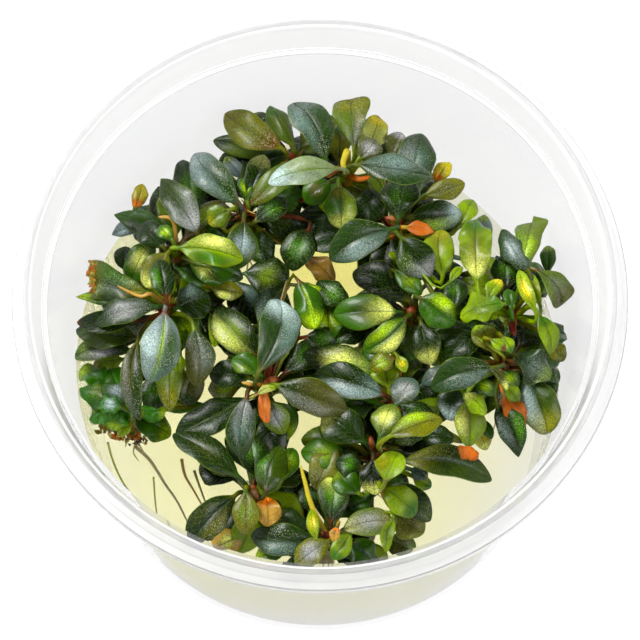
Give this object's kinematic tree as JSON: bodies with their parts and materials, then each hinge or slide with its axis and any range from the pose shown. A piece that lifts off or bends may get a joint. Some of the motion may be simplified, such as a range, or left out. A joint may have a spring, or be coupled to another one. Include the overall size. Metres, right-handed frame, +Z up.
{
  "type": "potted aquarium plant",
  "caption": "Clear round cup with a rolled rim, half filled with set gel that holds a dense clump of bucephalandra plantlets with dark oval leaves.",
  "frame": {"origin": "centre of the cup's flat base, on the surface that it stands on", "axes": "+Z up out of the cup's mouth, +Y away from the picture's camera, +X to the right in the picture"},
  "size_m": [0.1, 0.1, 0.064],
  "materials": {
    "cup": "clear injection-moulded polypropylene, smooth and slightly milky",
    "gel": "set agar gel, pale cream-yellow, translucent and wet",
    "leaf_dark": "waxy dark green leaf with fine pale speckles",
    "leaf_teal": "waxy teal-green leaf with a metallic sheen",
    "leaf_blue": "waxy blue-grey leaf with a lavender sheen",
    "leaf_silver": "waxy silver-blue leaf with a green midrib",
    "leaf_green": "fresh green leaf",
    "leaf_lime": "young yellow-green leaf",
    "leaf_olive": "olive leaf with cream speckles",
    "leaf_bronze": "brown-grey leaf with purple tones and fine pale speckles",
    "stem": "red-brown to orange stems, with the plantlet's smaller leaves"
  },
  "bodies": {
    "root": {"cup": "cup", "gel": "gel", "leaf_left_1": "leaf_teal", "leaf_left_2": "leaf_bronze", "leaf_left_3": "leaf_olive", "leaf_left_4": "leaf_bronze", "leaf_left_5": "leaf_silver", "leaf_left_6": "leaf_dark", "leaf_left_7": "leaf_bronze", "leaf_left_back_1": "leaf_blue", "leaf_left_back_2": "leaf_lime", "leaf_back_left_1": "leaf_blue", "leaf_back_left_2": "leaf_blue", "leaf_back_1": "leaf_olive", "leaf_back_2": "leaf_blue", "leaf_back_right_1": "leaf_silver", "leaf_back_right_2": "leaf_olive", "leaf_back_right_3": "leaf_teal", "leaf_back_right_4": "leaf_green", "leaf_centre_1": "leaf_dark", "leaf_centre_2": "leaf_teal", "leaf_centre_3": "leaf_blue", "leaf_inner_1": "leaf_olive", "leaf_inner_2": "leaf_olive", "leaf_right_1": "leaf_green", "leaf_right_2": "leaf_lime", "leaf_right_3": "leaf_lime", "leaf_right_4": "leaf_green", "leaf_right_front_1": "leaf_teal", "leaf_right_front_2": "leaf_blue", "leaf_right_front_3": "leaf_dark", "leaf_right_front_4": "leaf_dark", "leaf_middle_1": "leaf_silver", "leaf_middle_2": "leaf_dark", "leaf_middle_3": "leaf_dark", "leaf_middle_4": "leaf_teal", "leaf_middle_5": "leaf_bronze", "leaf_centre_front_1": "leaf_blue", "leaf_front_right_1": "leaf_olive", "leaf_front_right_2": "leaf_dark", "leaf_front_right_3": "leaf_dark", "leaf_front_left_1": "leaf_dark", "leaf_front_left_2": "leaf_dark", "leaf_front_1": "leaf_blue", "leaf_front_2": "leaf_dark", "stem_left": "stem", "stem_left_back": "stem", "stem_back_left": "stem", "stem_back": "stem", "stem_back_right": "stem", "stem_centre": "stem", "stem_inner": "stem", "stem_right": "stem", "stem_right_front": "stem", "stem_middle": "stem", "stem_centre_front": "stem", "stem_front_right": "stem", "stem_front_left": "stem", "stem_front": "stem", "stem_low_left": "stem"}
  },
  "joints": []
}
